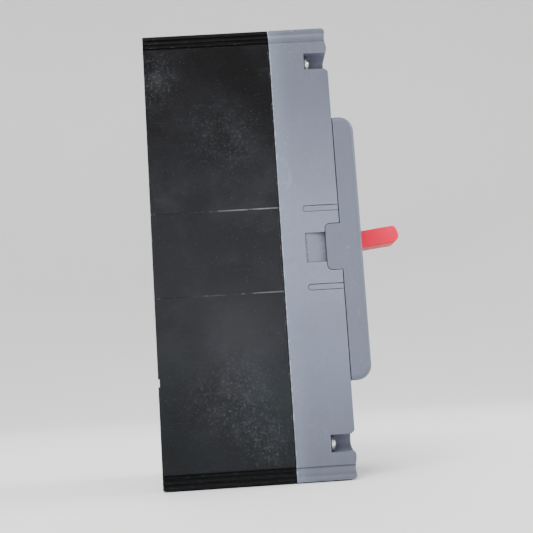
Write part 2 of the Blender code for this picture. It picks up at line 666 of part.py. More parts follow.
def make_magnet_yoke(pole, x, made):
    """The U of steel round the bimetal, with two ears that the armature hangs in."""
    web = box("magnet_yoke_" + pole, (x - 8, x + 8), (14.1, 44), (-60, -57.5))
    join, cut = [], []
    for side in SIDES:
        low, high = sorted((x + side * 6, x + side * 8))
        leg = [(-59, 24), (-47, 24), (-47, 42.5), (-42, 42.5), (-42, 49.5), (-49, 49.5), (-59, 44)]
        join.append(prism("leg", leg, low, high, "x"))
        cut.append(rod("ear_hole", ARMATURE_PIVOT, 1.3, low - 1, high + 1, "x", 12))
    return finish(shaped(web, join, cut), made["zinc_steel"])


def make_armature(pole, x, made):
    """The plate that the magnet pulls in; its upper end tips the trip bar."""
    z = (ARMATURE_PIVOT[0] - 0.6, ARMATURE_PIVOT[0] + 0.6)
    plate = box("armature_" + pole, (x - 7.5, x + 7.5), (24, 41.5), z)
    return finish(shaped(plate, [box("tail", (x - 5.5, x + 5.5), (41, 60), z),
                                 rod("trunnion", ARMATURE_PIVOT, 1, x - 8.3, x + 8.3, "x", 12)]),
                  made["zinc_steel"])


def make_trip_bar(made):
    """The bar that any pole, or the button, turns to free the latch."""
    z, depth = TRIP_BAR_PIVOT
    trip_bar = box("trip_bar", (-50, 50), (depth - 2.5, depth + 2.5), (z - 2.5, z + 2.5))
    join = [rod("journal", TRIP_BAR_PIVOT, 1.5, -52.7, 52.7, "x", 12),
            box("latch_tongue", (-3, 3), (depth, depth + 2), (z, -35)),
            box("button_finger", (TRIP_BUTTON[0] - 2.5, TRIP_BUTTON[0] + 2.5), (64.5, 66.5), (-58, z))]
    for x in POLES.values():
        join.append(box("bimetal_finger", (x - 2, x + 2), (58.5, depth), (-48.4, -46.9)))
        join.append(box("armature_finger", (x - 2, x + 2), (58.5, depth), (-42.5, -41.5)))
        join.append(box("finger_root", (x - 2, x + 2), (63.5, 66.5), (-48.4, -41.5)))
    return finish(shaped(trip_bar, join), made["dark_molding"])


def make_latch(made):
    """The blade that holds the cradle's tip, on its own cross pin."""
    blade = box("latch", (-4, 4), (58, 73), (-33.5, -31))
    z, depth = LATCH_PIVOT
    return finish(shaped(blade, [rod("cross_pin", LATCH_PIVOT, 1.2, -15.7, 15.7, "x", 12),
                                 box("pin_root", (-4, 4), (depth - 2, depth + 2), (z - 1.5, -33))]),
                  made["zinc_steel"])


def make_trip_button(made):
    button = turned_pin("trip_button", TRIP_BUTTON,
                        [(1.2, 66.9), (1.2, 77), (3, 77), (3, 110.2), (2.4, 110.8)])
    return finish(button, made["orange_plastic"])


def make_adjustment_dial(made):
    """The current-setting dial with its screwdriver slot."""
    dial = turned_pin("adjustment_dial", DIAL, [(3, 75), (3, 103), (5.5, 103), (5.5, 109), (5, 109.5)])
    x, z = DIAL
    slot = box("slot", (x - 0.7, x + 0.7), (108, 111), (z - 7, z + 3.4))
    return finish(shaped(dial, cut=[slot]), made["black_plastic"])


# ---------------------------------------------------------------- assembly
def clear_scene():
    for leftover in list(bpy.data.objects):
        bpy.data.objects.remove(leftover)


def make_mechanism(made):
    """Handle, links, crossbar and arms, each hung on the pivot that it turns about."""
    handle_axis = pivot("handle_axis", 0, HANDLE_PIVOT)
    for piece in (make_handle(made), make_handle_shield(made), make_handle_yoke(made),
                  *make_toggle_springs(made)):
        hang(piece, handle_axis)
    make_mechanism_frame(made)
    make_cradle_pin(made)
    hang(make_cradle(made), pivot("cradle_axis", 0, CRADLE_PIVOT))
    crossbar_axis = pivot("crossbar_axis", 0, CROSSBAR_PIVOT)
    hang(make_crossbar(made), crossbar_axis)
    hang(make_arm_pivot_pin(made), crossbar_axis)
    lower_axis = pivot("lower_link_axis", 0, drive_pivot(), crossbar_axis)
    hang(make_lower_link(made), lower_axis)
    hang(make_upper_link(made), pivot("upper_link_axis", 0, toggle_pivot(), lower_axis))
    for pole, x in POLES.items():
        arm_axis = pivot("arm_axis_" + pole, x, CROSSBAR_PIVOT, crossbar_axis)
        hang(make_contact_arm(pole, x, made), arm_axis)


def make_trip_unit(made):
    make_trip_unit_case(made)
    for pole, x in POLES.items():
        make_bimetal(pole, x, made)
        make_magnet_yoke(pole, x, made)
        hang(make_armature(pole, x, made), pivot("armature_axis_" + pole, x, ARMATURE_PIVOT))
    hang(make_trip_bar(made), pivot("trip_bar_axis", 0, TRIP_BAR_PIVOT))
    hang(make_latch(made), pivot("latch_axis", 0, LATCH_PIVOT))
    make_trip_button(made)
    make_adjustment_dial(made)


def make_poles(made):
    for pole, x in POLES.items():
        make_line_terminal(pole, x, made)
        make_load_terminal(pole, x, made)
        make_braid(pole, x, made)
        make_arc_chute(pole, x, made)
        for end in ENDS:
            make_lug(end, pole, x, made)
            make_lug_screw(end, pole, x, made)


def make_breaker():
    clear_scene()
    made = make_materials()
    make_base(made)
    make_main_cover(made)
    make_accessory_cover(made)
    corners = [(side * COVER_SCREW[0], end * COVER_SCREW[1]) for end in SIDES for side in SIDES]
    for number, spot in enumerate(corners, 1):
        make_cover_screw(number, spot, made)
    make_poles(made)
    make_mechanism(made)
    make_trip_unit(made)


make_breaker()
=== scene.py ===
"""Looks of the molded case breaker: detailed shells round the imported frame, and their materials.

Lengths in the modelling calls are millimetres. "depth" is the distance in front of the mounting back, -y.
"""
import json
import math

import bmesh
import bpy
from mathutils import Matrix, Vector


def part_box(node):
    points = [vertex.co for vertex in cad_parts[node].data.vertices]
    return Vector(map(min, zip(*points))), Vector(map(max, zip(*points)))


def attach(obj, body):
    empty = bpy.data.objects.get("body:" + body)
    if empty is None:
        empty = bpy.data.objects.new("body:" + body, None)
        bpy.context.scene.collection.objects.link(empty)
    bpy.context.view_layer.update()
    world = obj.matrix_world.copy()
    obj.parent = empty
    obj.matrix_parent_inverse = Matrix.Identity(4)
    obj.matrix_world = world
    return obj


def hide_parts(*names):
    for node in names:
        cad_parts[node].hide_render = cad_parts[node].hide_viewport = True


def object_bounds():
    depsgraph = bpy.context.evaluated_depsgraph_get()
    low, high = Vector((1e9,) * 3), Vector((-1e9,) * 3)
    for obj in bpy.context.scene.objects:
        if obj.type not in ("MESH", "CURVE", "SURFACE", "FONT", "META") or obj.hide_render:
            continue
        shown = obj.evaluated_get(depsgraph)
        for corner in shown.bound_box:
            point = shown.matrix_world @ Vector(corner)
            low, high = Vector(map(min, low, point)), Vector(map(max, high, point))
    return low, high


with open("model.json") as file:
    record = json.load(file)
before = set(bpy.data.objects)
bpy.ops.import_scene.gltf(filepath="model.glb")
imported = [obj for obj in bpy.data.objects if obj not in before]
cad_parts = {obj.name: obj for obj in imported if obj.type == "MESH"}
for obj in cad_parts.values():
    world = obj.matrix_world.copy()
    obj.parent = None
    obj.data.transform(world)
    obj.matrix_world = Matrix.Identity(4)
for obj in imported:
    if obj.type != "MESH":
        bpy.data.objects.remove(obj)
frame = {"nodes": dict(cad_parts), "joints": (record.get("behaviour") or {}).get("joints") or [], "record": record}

MM = 0.001
CAD_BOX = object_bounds()


def room(node):
    """A CAD node's x, depth and z ranges in millimetres."""
    low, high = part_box(node)
    return ((low.x / MM, high.x / MM), (-high.y / MM, -low.y / MM), (low.z / MM, high.z / MM))


# ---------------------------------------------------------------- sizes in millimetres
HALF_WIDTH = room("base")[0][1]
HALF_HEIGHT = room("base")[2][1]
BASE_FRONT = room("base")[1][1]
COVER_BACK, COVER_FRONT = room("main_cover")[1]
RAISED_FRONT = room("accessory_cover")[1][1]
RAISED_HALF_HEIGHT = room("accessory_cover")[2][1]
GAP = 0.3  # between neighbouring pieces
RAISED_BACK = COVER_FRONT + GAP
JOINTS = {joint["name"]: joint for joint in frame["joints"]}
HANDLE_PIVOT = (JOINTS["handle_swing"]["pos_m"][2] / MM, -JOINTS["handle_swing"]["pos_m"][1] / MM)
SIDES = (-1, 1)
ENDS = {"line": 1, "load": -1}
POLES = [sum(room("line_lug_" + pole)[0]) / 2 for pole in "abc"]
CASE_WALL = 3.0
INSIDE = HALF_WIDTH - CASE_WALL
INTERPHASE = (18.0, 20.6)
CHAMBER_FLOOR = 8.7
TERMINAL_WALL = (94, 97)
SEAM_Z = 22.3
MOUNT_SCREW = (19.3, 103.0)
MOUNT_BORE_RADIUS = 2.75
COVER_SCREW = (51.5, 102.1)
COVER_SCREW_BORE_RADIUS = 2.3
SCREW_POCKET_RADIUS = 4.5
SCREW_SEAT = room("cover_screw_1")[1][1] - 3.1
LUG_SCREW_Z = 107.5
LUG_THREAD_RADIUS = 4.3
WIRE_WAY = (22.5, 6.5)  # depth of its axis, and its radius
SHIELD_RADII = (62.5, 64.5)
HANDLE_REST = 6.8  # degrees from the depth axis
HANDLE_HALF_WIDTH = 8.0
TAB_HALF_HEIGHT = 12.2
TAB_BACK = 91.8
BEZEL = (12.6, 30.4)  # half its width and height
BEZEL_GROOVE = 1.0
TRIP_BUTTON = (24.0, -55.0)
DIAL = (-24.0, -55.0)


# ---------------------------------------------------------------- plane geometry
def polar(centre, radius, degrees):
    angle = math.radians(degrees)
    return (centre[0] + radius * math.cos(angle), centre[1] + radius * math.sin(angle))


def arc(centre, radius, start, end, steps):
    return [polar(centre, radius, start + (end - start) * i / steps) for i in range(steps + 1)]


def circle(centre, radius, sides=48):
    return [polar(centre, radius, 360.0 * i / sides) for i in range(sides)]


def rounded(low, high, radius, steps=8):
    """Rectangle from corner low to corner high with round corners."""
    corners = (
        ((high[0] - radius, high[1] - radius), 0),
        ((low[0] + radius, high[1] - radius), 90),
        ((low[0] + radius, low[1] + radius), 180),
        ((high[0] - radius, low[1] + radius), 270),
    )
    return [p for centre, start in corners for p in arc(centre, radius, start, start + 90, steps)]


def soft_polygon(corners, steps=6):
    """Outline through corners given as (u, v, radius), each rounded by its radius."""
    outline = []
    for i, (u, v, radius) in enumerate(corners):
        corner = Vector((u, v))
        before = (Vector(corners[i - 1][:2]) - corner).normalized()
        after = (Vector(corners[(i + 1) % len(corners)][:2]) - corner).normalized()
        if radius == 0:
            outline.append((u, v))
            continue
        half = before.angle(after) / 2
        centre = corner + (before + after).normalized() * radius / math.sin(half)
        start = corner + before * radius / math.tan(half) - centre
        end = corner + after * radius / math.tan(half) - centre
        for k in range(steps + 1):
            spoke = start.lerp(end, k / steps).normalized() * radius
            outline.append(tuple(centre + spoke))
    return outline


def on_handle(across, radius):
    """(z, depth) of a point given across and along the handle as it stands at rest."""
    tilt = math.radians(HANDLE_REST)
    return (HANDLE_PIVOT[0] + across * math.cos(tilt) + radius * math.sin(tilt),
            HANDLE_PIVOT[1] - across * math.sin(tilt) + radius * math.cos(tilt))


def towards(sign, low, high):
    """The range low..high, or its mirror image when sign is negative."""
    return (low, high) if sign > 0 else (-high, -low)


# ---------------------------------------------------------------- solids
def place(along, u, v, w):
    """World point in metres: (u, v) is (z, depth), (x, z) or (x, depth), and w runs along the axis."""
    spots = {"x": (w, -v, u), "depth": (u, -w, v), "z": (u, -v, w)}
    return [value * MM for value in spots[along]]


def solid_from(name, builder):
    """A linked object out of a filled bmesh, with its faces pointing out."""
    bmesh.ops.recalc_face_normals(builder, faces=builder.faces)
    mesh = bpy.data.meshes.new(name)
    builder.to_mesh(mesh)
    builder.free()
    solid = bpy.data.objects.new(name, mesh)
    bpy.context.scene.collection.objects.link(solid)
    return solid


def loft(name, rings, open_end=False):
    """A solid through rings of world points in metres; open_end leaves the last ring without its cap."""
    builder = bmesh.new()
    loops = [[builder.verts.new(point) for point in ring] for ring in rings]
    builder.faces.new(loops[0])
    if not open_end:
        builder.faces.new(loops[-1])
    for lower, upper in zip(loops, loops[1:]):
        for i in range(len(lower)):
            j = (i + 1) % len(lower)
            builder.faces.new((lower[i], lower[j], upper[j], upper[i]))
    return solid_from(name, builder)


def prism(name, outline, low, high, along):
    """The outline extruded from low to high along an axis, in millimetres."""
    return loft(name, [[place(along, u, v, w) for u, v in outline] for w in (low, high)])


def box(name, x, depth, z):
    corners = [(x[0], z[0]), (x[1], z[0]), (x[1], z[1]), (x[0], z[1])]
    return prism(name, corners, depth[0], depth[1], "depth")


def rod(name, centre, radius, low, high, along, sides=48):
    return prism(name, circle(centre, radius, sides), low, high, along)


def lathe(name, centre, profile, sides=48):
    """A round piece along the depth axis at centre (x, z); profile lists (radius, depth)."""
    return loft(name, [[place("depth", u, v, depth) for u, v in circle(centre, radius, sides)]
                       for radius, depth in profile])


def settle(solid):
    """Replace a solid's mesh by what its modifiers give, cleaned of slivers."""
    state = solid.evaluated_get(bpy.context.evaluated_depsgraph_get())
    mesh = bpy.data.meshes.new_from_object(state)
    solid.modifiers.clear()
    builder = bmesh.new()
    builder.from_mesh(mesh)
    bmesh.ops.remove_doubles(builder, verts=builder.verts, dist=0.00001)
    bmesh.ops.dissolve_limit(builder, angle_limit=math.radians(0.3), verts=builder.verts,
                             edges=builder.edges)
    builder.to_mesh(mesh)
    builder.free()
    solid.data = mesh
    mesh.name = solid.name
    return solid


def shaped(solid, join=(), cut=()):
    """Join the solid with some solids, then cut others out of it; the tools are used up."""
    for operation, tools in (("UNION", join), ("DIFFERENCE", cut)):
        for tool in tools:
            step = solid.modifiers.new(tool.name, "BOOLEAN")
            step.operation = operation
            step.solver = "EXACT"
            step.object = tool
    settle(solid)
    for tool in [*join, *cut]:
        bpy.data.objects.remove(tool)
    return solid


def merged(name, solids):
    """One object out of solids that don't touch each other."""
    builder = bmesh.new()
    for solid in solids:
        builder.from_mesh(solid.data)
        bpy.data.objects.remove(solid)
    return solid_from(name, builder)


def round_edges(solid, width, segments=3, angle=40):
    """Bevel the sharp edges."""
    step = solid.modifiers.new("round", "BEVEL")
    step.width = width * MM
    step.segments = segments
    step.limit_method = "ANGLE"
    step.angle_limit = math.radians(angle)
    step.use_clamp_overlap = False
    step.miter_outer = "MITER_ARC"
    state = solid.evaluated_get(bpy.context.evaluated_depsgraph_get())
    mesh = bpy.data.meshes.new_from_object(state)
    solid.modifiers.clear()
    solid.data = mesh
    return solid


def dress(piece, made, body, nodes=(), sharp=40):
    """Material, smooth shading with flat faces kept flat, and the body that carries the piece."""
    piece.data.materials.clear()
    piece.data.materials.append(made)
    piece.data.shade_smooth()
    piece.data.set_sharp_from_angle(angle=math.radians(sharp))
    normals = piece.modifiers.new("flat faces stay flat", "WEIGHTED_NORMAL")
    normals.keep_sharp = True
    normals.weight = 100
    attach(piece, body)
    if nodes:
        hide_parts(*nodes)
    return piece


# ---------------------------------------------------------------- materials, with lengths in metres
THERMOSET = (0.0034, 0.0034, 0.0038)
THERMOSET_SHADE = (0.006, 0.006, 0.0065)
DUST_SPOTS = (
    # (depth, z) of the middle, radius in mm, strength
    ((3, 96), 24, 0.55), ((42, 62), 30, 0.3), ((54, -98), 22, 0.5), ((38, -76), 34, 0.45),
)
GREY_TONES = ((0.205, 0.232, 0.312), (0.248, 0.28, 0.372), (0.23, 0.236, 0.322))
PALE_NICK = (0.5, 0.53, 0.58)


def rgba(red, green, blue):
    return (red, green, blue, 1.0)


class Graph:
    """A small helper that wires one material's nodes."""

    def __init__(self, name):
        self.material = bpy.data.materials.new(name)
        self.material.use_nodes = True
        self.tree = self.material.node_tree
        self.shader = self.tree.nodes["Principled BSDF"]
        self.coordinates = self.tree.nodes.new("ShaderNodeTexCoord").outputs["Object"]
        self.ground = None

    def node(self, kind, inputs=None, **settings):
        made = self.tree.nodes.new("ShaderNode" + kind)
        for key, value in settings.items():
            setattr(made, key, value)
        for key, value in (inputs or {}).items():
            self.join(value, made.inputs[key])
        return made

    def join(self, value, socket):
        if isinstance(value, bpy.types.NodeSocket):
            self.tree.links.new(value, socket)
        else:
            socket.default_value = value

    def stretched(self, scale):
        """Coordinates that make a noise finer along the axes with a larger scale."""
        return self.node("Mapping", {"Vector": self.coordinates, "Scale": scale}).outputs["Vector"]

    def noise(self, scale, detail=4.0, rough=0.5, distortion=0.0, vector=None):
        return self.node("TexNoise", {"Vector": vector or self.coordinates, "Scale": scale, "Detail": detail,
                                      "Roughness": rough, "Distortion": distortion}).outputs["Fac"]

    def specks(self, scale, share, size):
        """1 in a few round spots of a cell pattern, else 0."""
        cells = self.node("TexVoronoi", {"Vector": self.coordinates, "Scale": scale})
        chosen = self.window(self.node("SeparateColor", {"Color": cells.outputs["Color"]}).outputs[0],
                             1 - share, 1 - share + 0.001)
        spot = self.window(cells.outputs["Distance"], size, size * 0.4)
        return self.times(chosen, spot)

    def window(self, value, low, high):
        """0 below low, 1 above high, smooth between."""
        made = self.node("MapRange", {"Value": value, "From Min": low, "From Max": high},
                         interpolation_type="SMOOTHSTEP")
        return made.outputs["Result"]

    def math(self, operation, first, second=0.0):
        made = self.node("Math", operation=operation)
        self.join(first, made.inputs[0])
        self.join(second, made.inputs[1])
        return made.outputs[0]

    def times(self, first, second):
        return self.math("MULTIPLY", first, second)

    def plus(self, first, second):
        return self.math("ADD", first, second)

    def minus(self, first, second):
        return self.math("SUBTRACT", first, second)

    def absolute(self, value):
        return self.math("ABSOLUTE", value)

    def span(self, value, low, length):
        """A value of 0 to 1 moved to the range that starts at low and is this long."""
        made = self.node("Math", operation="MULTIPLY_ADD")
        for socket, term in zip(made.inputs, (value, length, low)):
            self.join(term, socket)
        return made.outputs[0]

    def mix(self, amount, first, second):
        made = self.node("Mix", data_type="RGBA")
        self.join(amount, made.inputs["Factor"])
        self.join(first, made.inputs[6])
        self.join(second, made.inputs[7])
        return made.outputs[2]

    def paint(self, amount, share, colour):
        """Lay a colour over the ground, covering this share of it where amount is 1."""
        self.ground = self.mix(self.times(amount, share), self.ground, rgba(*colour))

    def place(self):
        """The point's x, y and z in metres, as three values."""
        return self.node("SeparateXYZ", {"Vector": self.coordinates}).outputs

    def hollow(self, distance, inside=False):
        """1 in tight corners (or, from inside, at outer edges), 0 on open faces."""
        made = self.node("AmbientOcclusion", {"Distance": distance * MM}, samples=6, inside=inside)
        return self.window(made.outputs["AO"], 0.92, 0.35)

    def near(self, spot, radius):
        """1 at a spot given as (depth, z) in millimetres, falling to 0 at the radius."""
        y, z = self.place()[1:]
        across = self.plus(y, spot[0] * MM)
        up = self.minus(z, spot[1] * MM)
        reach = self.math("SQRT", self.plus(self.times(across, across), self.times(up, up)))
        return self.window(reach, radius * MM, 0.0)

    def bump(self, height, distance, strength=1.0, under=None):
        inputs = {"Height": height, "Distance": distance * MM, "Strength": strength}
        if under is not None:
            inputs["Normal"] = under
        return self.node("Bump", inputs).outputs["Normal"]

    def finish(self, roughness, normal=None, gloss=0.5, metallic=0.0):
        """Send the ground and the rest to the shader."""
        self.join(self.ground, self.shader.inputs["Base Color"])
        self.join(roughness, self.shader.inputs["Roughness"])
        self.shader.inputs["Specular IOR Level"].default_value = gloss
        self.shader.inputs["Metallic"].default_value = metallic
        if normal is not None:
            self.join(normal, self.shader.inputs["Normal"])
        return self.material


def black_thermoset():
    """Dusty black phenolic: painted floor light towards its lower end, soft haze, fine pale grains, rubbed corners
    and bright flash along the seams.
    """
    g = Graph("black_thermoset")
    x, y, z = g.place()
    cloud = g.noise(30.0, 5.0, 0.6, 0.2)
    grain = g.window(g.noise(650.0, 4.0, 0.75), 0.5, 0.72)
    # painted floor light: the ground turns lighter towards the lower end, and the cloudy bloom grows there with it
    height = g.window(z, 0.11, -0.03)
    g.ground = g.mix(height, rgba(*THERMOSET), rgba(0.0185, 0.019, 0.0216))
    bloom_and_floor_light = g.times(g.window(cloud, 0.4, 0.75), g.plus(g.times(height, 0.5), 0.13))
    g.paint(bloom_and_floor_light, 1.0, (0.036, 0.037, 0.043))
    g.paint(g.near((44, -42), 34), 0.4, (0.043, 0.045, 0.05))
    # painted floor light: lighter blotches towards the lower end
    low = g.times(g.window(z, -0.03, -0.09), g.window(g.noise(14.0, 2.0), 0.4, 0.65))
    g.paint(low, 0.5, (0.028, 0.039, 0.042))

    rear_foot = g.times(g.window(y, -0.03, -0.002), g.window(z, -0.02, -0.06))
    g.paint(rear_foot, 0.35, THERMOSET_SHADE)
    g.paint(g.window(z, -0.052, -0.105), 0.6, THERMOSET_SHADE)

    dust = 0.0
    for spot, radius, share in DUST_SPOTS:
        dust = g.plus(g.times(g.near(spot, radius), share), dust)
    dust = g.times(dust, g.window(g.absolute(x), 0.051, 0.0568))
    haze = g.window(g.noise(95.0, 6.0, 0.75, 0.3), 0.38, 0.8)
    g.paint(g.times(dust, haze), 0.5, (0.085, 0.088, 0.1))
    g.paint(g.times(dust, grain), 0.5, (0.17, 0.175, 0.19))
    streak = g.noise(1.0, 5.0, 0.7, vector=g.stretched((60, 40, 520)))
    g.paint(g.window(streak, 0.55, 0.8), 0.3, (0.04, 0.042, 0.048))
    g.paint(g.specks(190.0, 0.05, 0.08), 1.0, (0.24, 0.25, 0.27))
    g.paint(g.specks(420.0, 0.06, 0.1), 0.6, (0.12, 0.125, 0.14))
    g.paint(g.window(g.absolute(z), 0.1125, 0.1129), 0.75, (0.004, 0.004, 0.0043))

    flash = g.times(g.window(g.noise(150.0, 3.0, 0.6), 0.4, 0.55), g.window(y, -0.015, -0.06))
    for seam, share in ((SEAM_Z, 0.9), (-SEAM_Z, 0.5)):
        line = g.window(g.absolute(g.minus(z, seam * MM)), 0.0004, 0.0002)
        g.paint(g.times(line, flash), share, (0.2, 0.21, 0.22))
    chips = g.times(g.hollow(1.0, True), g.window(g.noise(380.0, 3.0, 0.7), 0.55, 0.65))
    bands = g.window(g.absolute(z), 0.1112, 0.1118)
    g.paint(g.times(chips, g.minus(0.8, g.times(bands, 0.68))), 1.0, (0.3, 0.31, 0.32))
    g.paint(grain, 0.06, (0.1, 0.1, 0.11))
    normal = g.bump(g.noise(420.0, 3.0, 0.6), 0.05, 0.35, g.bump(g.noise(60.0, 3.0), 0.3, 0.12))
    return g.finish(g.span(cloud, 0.55, 0.2), normal, 0.07)


def grey_plastic(name, shade, middle_painted_shade, end_painted_shade):
    """Satin blue-grey moulding with painted shade towards its ends and in its corners, flow marks, rubs and nicks.
    """
    g = Graph(name)
    x, y, z = g.place()
    dark, pale, warm = [[shade * channel for channel in tone] for tone in GREY_TONES]
    g.ground = g.mix(g.noise(18.0, 4.0, 0.5, 0.8), rgba(*dark), rgba(*pale))
    g.paint(g.window(g.noise(9.0, 2.0), 0.4, 0.62), 0.4, warm)
    # painted shade: darker away from the middle, and most towards the ends
    off_middle = g.window(g.absolute(z), 0.014, 0.042)
    end = g.window(g.absolute(g.minus(z, -0.012)), 0.035, 0.11)
    painted_shade_mask = g.plus(g.times(off_middle, middle_painted_shade), g.times(end, end_painted_shade))
    g.paint(painted_shade_mask, 1.0, (0.03, 0.032, 0.045))
    g.paint(g.window(y, -0.080, -0.067), 0.4, (0.19, 0.24, 0.31))

    streak = g.noise(1.0, 4.0, 0.6, vector=g.stretched((90, 260, 40)))
    g.paint(g.window(streak, 0.5, 0.8), 0.05, (0.3, 0.335, 0.42))
    rub = g.times(g.window(g.noise(48.0, 5.0, 0.65, 1.0), 0.6, 0.78), g.window(g.noise(15.0, 2.0), 0.5, 0.65))
    g.paint(rub, 0.4, (0.38, 0.41, 0.47))
    g.paint(g.plus(g.specks(260.0, 0.03, 0.12), g.specks(120.0, 0.02, 0.05)), 0.6, PALE_NICK)
    g.paint(g.window(g.noise(210.0, 3.0, 0.6), 0.3, 0.75), 0.22, (0.13, 0.145, 0.19))
    flecks = g.times(g.window(g.noise(620.0, 3.0, 0.7), 0.6, 0.72), g.window(g.noise(28.0, 3.0), 0.42, 0.62))
    g.paint(flecks, 0.3, (0.42, 0.45, 0.5))

    back = -COVER_BACK * MM
    # pale broken line along the back edge: a painted highlight on its bevel, with nicks
    rear_edge_highlight_and_nicks = g.times(g.window(y, back - 0.0008, back - 0.0003),
                        g.window(g.noise(380.0, 4.0, 0.7), 0.48, 0.6))
    g.paint(rear_edge_highlight_and_nicks, 0.55, (0.55, 0.57, 0.61))
    # grime and painted shade in the pry recess
    g.paint(pry_grime_and_shade(g, x, y, z), 1.0, (0.05, 0.052, 0.06))
    # painted shade in tight corners and creases
    g.paint(g.hollow(1.2), 0.85, (0.035, 0.04, 0.05))
    g.paint(g.times(g.hollow(0.7, True), g.window(g.noise(90.0, 3.0, 0.6), 0.4, 0.7)), 0.35, PALE_NICK)
    normal = g.bump(g.noise(900.0, 2.0), 0.03, 0.3, g.bump(g.noise(40.0, 3.0), 0.5, 0.1))
    return g.finish(g.span(g.noise(70.0, 4.0, 0.6), 0.36, 0.2), normal, 0.35)


def pry_grime_and_shade(g, x, y, z):
    """Darkening in the recess behind a tab: grime speckled along its rear edge, and painted shade that grows
    towards the tab.
    """
    across = g.times(g.window(g.absolute(z), 0.0083, 0.0079), g.window(g.absolute(x), 0.0572, 0.0568))
    along = g.times(g.window(y, -0.0803, -0.0807), g.window(y, -0.0932, -0.0925))
    grain = g.window(g.noise(700.0, 4.0, 0.7), 0.42, 0.58)
    rear = g.times(g.window(g.absolute(g.plus(y, 0.0812)), 0.0011, 0.0), grain)
    # painted shade: the recess darkens towards the tab that overhangs it, with a faint grain
    front = g.times(g.window(y, -0.086, -0.0925), g.plus(g.times(grain, 0.35), 0.4))
    # grime along the rear edge, plus painted shade towards the tab and, faintly, over the whole recess
    grime_and_shade = g.plus(g.times(rear, 0.7), g.plus(g.times(front, 0.8), 0.1))
    return g.times(g.times(across, along), grime_and_shade)


def handle_plastic():
    """Coral red moulding, a little paler where fingers rub it, with painted shade in dull brown underneath."""
    g = Graph("handle_plastic")
    y, z = g.place()[1:]
    rub = g.window(g.noise(90.0, 4.0, 0.6, 0.5), 0.4, 0.75)
    g.ground = g.mix(rub, rgba(0.94, 0.01, 0.062), rgba(0.96, 0.024, 0.09))
    g.paint(g.specks(500.0, 0.04, 0.12), 0.3, (0.95, 0.3, 0.33))
    tilt = math.radians(HANDLE_REST)
    middle = (HANDLE_PIVOT[0] * math.cos(tilt) - HANDLE_PIVOT[1] * math.sin(tilt)) * MM
    across = g.minus(g.plus(g.times(z, math.cos(tilt)), g.times(y, math.sin(tilt))), middle)
    # painted shade: dull brown on the underside
    g.paint(g.window(across, -0.0044, -0.0051), 0.6, (0.32, 0.09, 0.07))
    return g.finish(g.span(rub, 0.55, 0.12), g.bump(g.noise(1100.0, 2.0), 0.02, 0.3), 0.15)


def dark_plastic(name, low, high, rough=0.4):
    """A plain moulding that clouds between two colours, with a few pale specks."""
    g = Graph(name)
    cloud = g.noise(60.0, 4.0, 0.6, 0.4)
    g.ground = g.mix(cloud, rgba(*low), rgba(*high))
    g.paint(g.specks(400.0, 0.03, 0.1), 0.4, (0.3, 0.3, 0.3))
    return g.finish(g.span(cloud, rough, 0.2), g.bump(g.noise(1000.0, 2.0), 0.03, 0.35))


def metal(name, low, high, rough, scale, stretch=(1, 1, 1)):
    """Plated or rolled metal: mottled colour, fine scratches and stained spots."""
    g = Graph(name)
    mottle = g.noise(scale, 4.0, 0.6, 0.5)
    g.ground = g.mix(mottle, rgba(*low), rgba(*high))
    stain = g.window(g.noise(scale * 2.3, 3.0), 0.62, 0.8)
    g.paint(stain, 0.5, [channel * 0.55 for channel in low])
    scratch = g.noise(1.0, 3.0, 0.6, vector=g.stretched([900 * s for s in stretch]))
    return g.finish(g.span(mottle, rough, 0.22), g.bump(scratch, 0.02, 0.25), metallic=1.0)


def pale_fibre():
    """Arc chute board: pale, matt and fibrous."""
    g = Graph("pale_fibre")
    weave = g.noise(1.0, 5.0, 0.7, vector=g.stretched((1500, 300, 300)))
    g.ground = g.mix(weave, rgba(0.42, 0.37, 0.27), rgba(0.6, 0.54, 0.42))
    return g.finish(0.8, g.bump(weave, 0.05, 0.5))


def white_ink():
    """Raised white marks, a little worn."""
    g = Graph("white_ink")
    worn = g.window(g.noise(600.0, 4.0, 0.7), 0.3, 0.5)
    g.ground = g.mix(worn, rgba(0.5, 0.52, 0.56), rgba(0.82, 0.83, 0.84))
    return g.finish(0.5, g.bump(g.noise(900.0, 2.0), 0.01, 0.2))


def pale_stage():
    """Matt near-white paper."""
    g = Graph("pale_stage")
    g.ground = g.mix(g.noise(3.0, 2.0), rgba(0.86, 0.86, 0.86), rgba(0.9, 0.9, 0.9))
    return g.finish(0.9)


# ---------------------------------------------------------------- base
SIDE_BAND = (
    # |z| and how deep the side lies there: two grooves with thin ridges, then the end bead
    (112.6, 0.0), (112.8, 0.9), (113.7, 0.9), (113.9, 0.25), (114.4, 0.25), (114.7, 1.1), (116.0, 1.0),
    (116.2, 0.35), (117.2, 0.35), (117.4, 0.9), (118.3, 0.9), (118.6, 0.0),
)


def band_cutter(profile, side, end, low, high):
    """Cuts an end band's grooves into one side face, between two depths."""
    outside = side * (HALF_WIDTH + 2)
    outline = [(side * (HALF_WIDTH - inset), end * z) for z, inset in profile]
    outline += [(outside, end * profile[-1][0]), (outside, end * profile[0][0])]
    return prism("band", outline, low, high, "depth")


